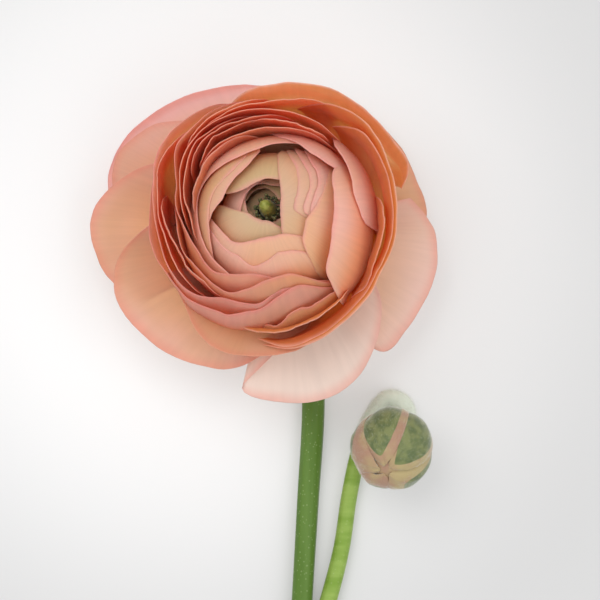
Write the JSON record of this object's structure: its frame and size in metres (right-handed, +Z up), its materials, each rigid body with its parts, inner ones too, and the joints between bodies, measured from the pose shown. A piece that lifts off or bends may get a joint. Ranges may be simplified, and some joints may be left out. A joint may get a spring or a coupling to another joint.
{
  "type": "ranunculus flower",
  "caption": "Cut ranunculus stem lying down: an open peach and orange bloom of many layered petals, and a closed hooked side bud.",
  "frame": {"origin": "on the surface that the flower lies on, under the middle of its bounding box", "axes": "+Y along the stem from the cut end to the bloom, +Z up, the way the bloom faces"},
  "size_m": [0.0894, 0.2149, 0.0529],
  "materials": {
    "petals": "satin",
    "stalk": "satin",
    "sepals": "matte",
    "pistil": "satin",
    "stamens": "matte",
    "bud_petals": "satin",
    "bud_sepals": "matte"
  },
  "bodies": {
    "root": {"bloom": "petals", "stem": "stalk", "calyx": "sepals", "pistil": "pistil", "stamens": "stamens", "bud_petals": "bud_petals", "bud_sepals": "bud_sepals"}
  },
  "joints": []
}
